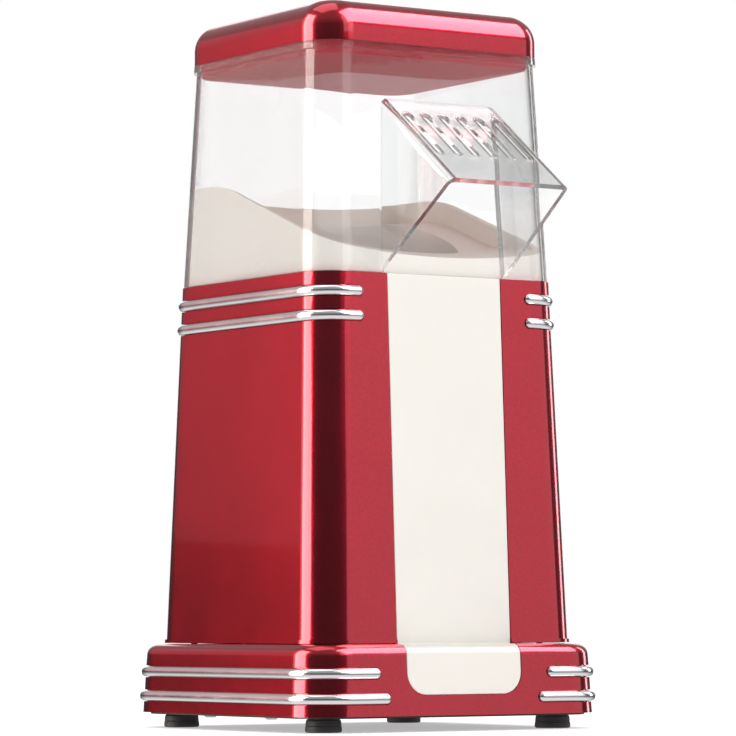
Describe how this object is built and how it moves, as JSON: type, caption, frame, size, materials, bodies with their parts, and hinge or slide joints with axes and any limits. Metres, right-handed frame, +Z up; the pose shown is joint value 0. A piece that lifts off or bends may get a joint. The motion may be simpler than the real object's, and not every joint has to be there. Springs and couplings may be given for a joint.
{
  "type": "popcorn maker",
  "caption": "Retro hot-air popcorn maker: tapered red tower on a wide plinth with chrome trim bars, clear cover with a slotted spout, lid, blower, heater and popping chamber.",
  "frame": {"origin": "centre of the outer box on the surface the feet stand on", "axes": "+Z up, -Y towards the front with the spout, +X to the right seen from the front"},
  "size_m": [0.1488, 0.1838, 0.3],
  "materials": {
    "red_shell": "glossy metallic red lacquer",
    "cream_plastic": "smooth semi-gloss",
    "chrome_trim": "satin chrome",
    "clear_plastic": "clear, polished",
    "foot_rubber": "matte",
    "aluminium": "spun, satin",
    "steel": "plain",
    "phenolic": "moulded, heat resistant",
    "mica": "mica sheet",
    "copper": "enamelled winding",
    "circuit_board": "plain board",
    "wire_sleeve": "soft sleeve",
    "black_plastic": "moulded"
  },
  "bodies": {
    "base": {"plinth": "red_shell", "body_shell": "red_shell", "front_panel": "cream_plastic", "plinth_trim_lower_left": "chrome_trim", "plinth_trim_lower_right": "chrome_trim", "plinth_trim_upper_left": "chrome_trim", "plinth_trim_upper_right": "chrome_trim", "body_trim_upper_left": "chrome_trim", "body_trim_upper_right": "chrome_trim", "body_trim_lower_left": "chrome_trim", "body_trim_lower_right": "chrome_trim", "bottom_cover": "black_plastic", "foot_front_left": "foot_rubber", "base_screw_1": "steel", "body_screw_1": "steel", "blower_screw_1": "steel", "foot_front_right": "foot_rubber", "base_screw_2": "steel", "body_screw_2": "steel", "blower_screw_2": "steel", "foot_rear_right": "foot_rubber", "base_screw_3": "steel", "body_screw_3": "steel", "blower_screw_3": "steel", "foot_rear_left": "foot_rubber", "base_screw_4": "steel", "body_screw_4": "steel", "blower_screw_4": "steel", "popcorn_chute": "cream_plastic", "popping_chamber": "aluminium", "chamber_collar": "phenolic", "air_duct": "steel", "heater_frame": "mica", "heater_coil": "steel", "blower_housing": "phenolic", "motor_can": "steel", "motor_end_cap": "black_plastic", "motor_mount": "steel", "rectifier_board": "circuit_board", "switch_housing": "black_plastic", "cord_gland": "black_plastic", "gland_nut": "black_plastic", "thermostat": "black_plastic", "thermal_fuse": "steel", "supply_wire": "wire_sleeve", "motor_wire": "wire_sleeve", "heater_wire": "wire_sleeve"},
    "cover": {"clear_cover": "clear_plastic"},
    "lid": {"lid_cap": "red_shell", "lid_insert": "red_shell"},
    "rotor": {"fan_impeller": "black_plastic", "motor_shaft": "steel", "motor_armature": "copper"},
    "rocker": {"switch_rocker": "black_plastic"}
  },
  "joints": [
    {"name": "cover_lift", "type": "slide", "parent": "base", "child": "cover", "axis": [0, 0, 1], "range_m": [0, 0.06]},
    {"name": "lid_lift", "type": "slide", "parent": "cover", "child": "lid", "axis": [0, 0, 1], "range_m": [0, 0.03]},
    {"name": "fan_spin", "type": "hinge", "parent": "base", "child": "rotor", "pos_m": [0, 0.01572, 0.0661], "axis": [0, 0, 1], "continuous": true},
    {"name": "switch_rock", "type": "hinge", "parent": "base", "child": "rocker", "pos_m": [0.026, 0.07874, 0.05921], "axis": [1, 0, 0], "range_deg": [0, 16]}
  ]
}
